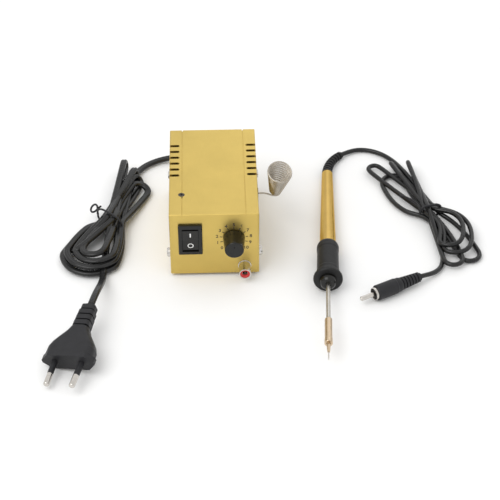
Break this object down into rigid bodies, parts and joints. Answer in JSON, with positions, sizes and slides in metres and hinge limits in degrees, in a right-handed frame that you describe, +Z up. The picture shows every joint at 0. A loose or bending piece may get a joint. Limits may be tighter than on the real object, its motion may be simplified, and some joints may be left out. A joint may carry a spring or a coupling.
{
  "type": "wood burning pen",
  "caption": "Electric wood burning pen with needle tip and gold handle, its small gold power station with rocker switch, dial and spring pen holder, and both tied leads.",
  "frame": {"origin": "on the table, at the middle of the rectangle that the station, its pen holder and the pen cover; the leads, hanks and plugs are left out of it", "axes": "+Y rearwards, along the pen, from its tip towards its rear end; +Z up from the table; +X to the right seen from the station's front panel"},
  "size_m": [0.297, 0.2553, 0.0568],
  "materials": {
    "gold_anodised": "satin gold anodised sheet, fine brushed grain",
    "gold_handle": "gold anodised turned tube, semi-gloss",
    "nickel": "nickel plated, bright",
    "spring_wire": "nickel plated spring wire",
    "steel": "drawn stainless tube",
    "copper_alloy": "turned copper alloy, satin",
    "silver_metal": "bright plated",
    "black_gloss": "glossy moulded black",
    "black_matte": "matt moulded black",
    "black_rubber": "soft black rubber",
    "cord_black": "black PVC sheath, slight sheen",
    "red_plastic": "red moulded insulator",
    "white_ceramic": "fired ceramic",
    "board_green": "solder-masked laminate",
    "winding_yellow": "taped winding",
    "lamination": "stacked core plates",
    "white_plastic": "insulated wire"
  },
  "bodies": {
    "station": {"base_tray": "gold_anodised", "top_cover": "gold_anodised", "cover_screws": "nickel", "rubber_feet": "black_rubber", "switch_frame": "black_gloss", "switch_terminals": "copper_alloy", "potentiometer": "nickel", "pot_nut": "nickel", "jack_shell": "nickel", "jack_insulator": "red_plastic", "jack_contact": "silver_metal", "jack_nut": "nickel", "transformer_core": "lamination", "transformer_winding": "winding_yellow", "transformer_bracket": "steel", "transformer_screws": "nickel", "transformer_nuts": "nickel", "board_posts": "white_plastic", "circuit_board": "board_green", "smoothing_capacitor": "black_matte", "rectifier_diodes": "black_matte", "power_transistor": "black_matte", "heatsink_screw": "silver_metal", "heatsink_nut": "nickel", "mains_wires": "white_plastic", "output_wires": "red_plastic", "mains_grommet": "black_rubber", "holder_bush": "black_matte", "mains_lead": "cord_black", "mains_lead_end": "cord_black", "mains_hank": "cord_black", "mains_tie": "black_matte", "mains_plug_body": "black_matte", "mains_plug_pins": "silver_metal", "mains_pin_sleeves": "black_matte"},
    "rocker": {"rocker": "black_gloss"},
    "knob": {"knob": "black_gloss", "pot_shaft": "nickel"},
    "holder": {"spring_holder": "spring_wire"},
    "pen": {"tip_holder": "copper_alloy", "heater_tube": "steel", "heater_core": "white_ceramic", "pen_nose": "black_gloss", "pen_grip": "black_rubber", "heater_insulator": "white_ceramic", "pen_handle": "gold_handle", "pen_wires": "white_plastic", "cord_clamp": "steel", "pen_strain_relief": "black_rubber", "pen_lead": "cord_black", "pen_lead_end": "cord_black", "pen_hank": "cord_black", "pen_tie": "black_matte", "phono_pin": "silver_metal", "phono_insulator": "black_matte", "phono_ring": "silver_metal", "phono_body": "black_matte"},
    "tip": {"tip_needle": "silver_metal", "tip_shank": "copper_alloy"}
  },
  "joints": [
    {"name": "switch_rocker", "type": "hinge", "parent": "station", "child": "rocker", "pos_m": [-0.04372, -0.0022, 0.032], "axis": [-1, 0, 0], "range_deg": [0, 10]},
    {"name": "dial_turn", "type": "hinge", "parent": "station", "child": "knob", "pos_m": [-0.01452, -0.0027, 0.0319], "axis": [0, 1, 0], "range_deg": [-135, 135]},
    {"name": "holder_swing", "type": "hinge", "parent": "station", "child": "holder", "pos_m": [0.00238, 0.0529, 0.027], "axis": [1, 0, 0], "range_deg": [-30, 30]},
    {"name": "pen_lift", "type": "slide", "parent": "station", "child": "pen", "axis": [0, 0, 1], "range_m": [0, 0.12]},
    {"name": "tip_pull", "type": "slide", "parent": "pen", "child": "tip", "axis": [-0.0632, -0.9968, 0.0479], "range_m": [0, 0.02]}
  ]
}
